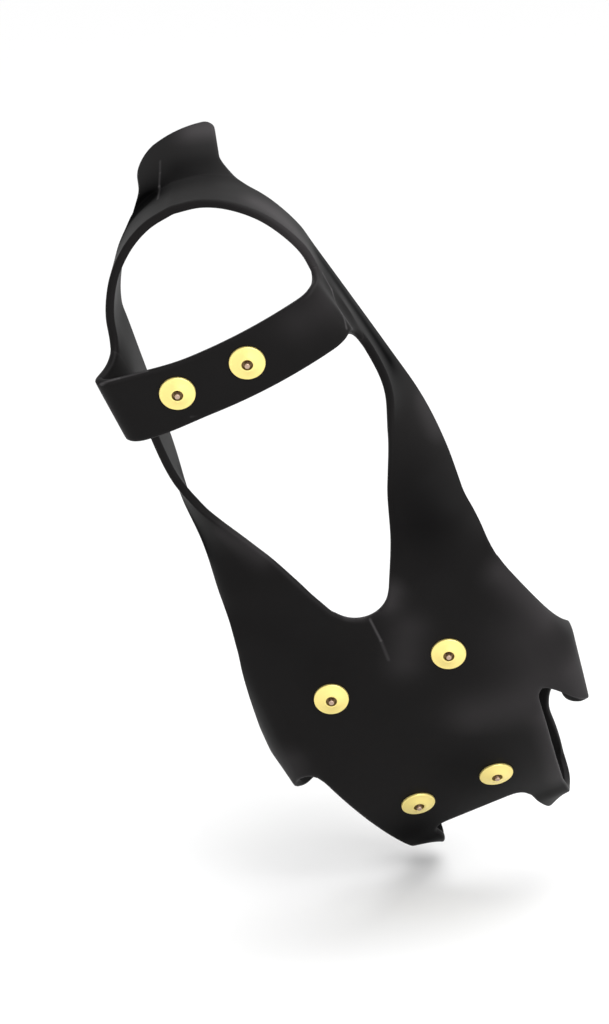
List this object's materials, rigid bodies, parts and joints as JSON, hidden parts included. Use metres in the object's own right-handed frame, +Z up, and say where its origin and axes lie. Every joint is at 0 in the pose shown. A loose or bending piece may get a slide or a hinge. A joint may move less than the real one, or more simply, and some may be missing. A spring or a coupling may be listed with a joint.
{
  "type": "ice cleat",
  "caption": "Rubber overshoe ice cleat: a sole pad with a toe loop and toe ears, arms to a heel band with a pull tab, an under-heel strap, and plated studs with hard pins.",
  "frame": {"origin": "on the ground under the middle of the whole cleat, level with the pins' tips", "axes": "+Z up through the foot, studs down; +Y towards the toe; +X to the wearer's right"},
  "size_m": [0.1181, 0.2975, 0.0775],
  "materials": {
    "rubber": "satin black moulded rubber",
    "stud_plating": "bright pale gold plating, turned",
    "pin_carbide": "dull sintered carbide",
    "washer_steel": "plain pressed steel"
  },
  "bodies": {
    "forefoot": {"sole_pad": "rubber", "toe_loop": "rubber", "left_toe_ear": "rubber", "right_toe_ear": "rubber", "left_arm": "rubber", "right_arm": "rubber", "left_ball_stud": "stud_plating", "right_ball_stud": "stud_plating", "left_toe_stud": "stud_plating", "right_toe_stud": "stud_plating", "left_ball_pin": "pin_carbide", "right_ball_pin": "pin_carbide", "left_toe_pin": "pin_carbide", "right_toe_pin": "pin_carbide", "left_ball_washer": "washer_steel", "right_ball_washer": "washer_steel", "left_toe_washer": "washer_steel", "right_toe_washer": "washer_steel"},
    "heel": {"heel_band": "rubber"},
    "strap": {"heel_strap": "rubber", "left_heel_stud": "stud_plating", "right_heel_stud": "stud_plating", "left_heel_pin": "pin_carbide", "right_heel_pin": "pin_carbide", "left_heel_washer": "washer_steel", "right_heel_washer": "washer_steel"},
    "tab": {"pull_tab": "rubber"}
  },
  "joints": [
    {"name": "heel_fold", "type": "hinge", "parent": "forefoot", "child": "heel", "pos_m": [0, -0.01835, 0.02], "axis": [-1, 0, 0], "range_deg": [-30, 90], "stiffness_Nm_per_rad": 1.5},
    {"name": "strap_swing", "type": "hinge", "parent": "heel", "child": "strap", "pos_m": [0, -0.09136, 0.015], "axis": [1, 0, 0], "range_deg": [-20, 20], "stiffness_Nm_per_rad": 0.3},
    {"name": "tab_bend", "type": "hinge", "parent": "heel", "child": "tab", "pos_m": [0, -0.14086, 0.0515], "axis": [1, 0, 0], "range_deg": [-15, 70], "stiffness_Nm_per_rad": 0.05}
  ]
}
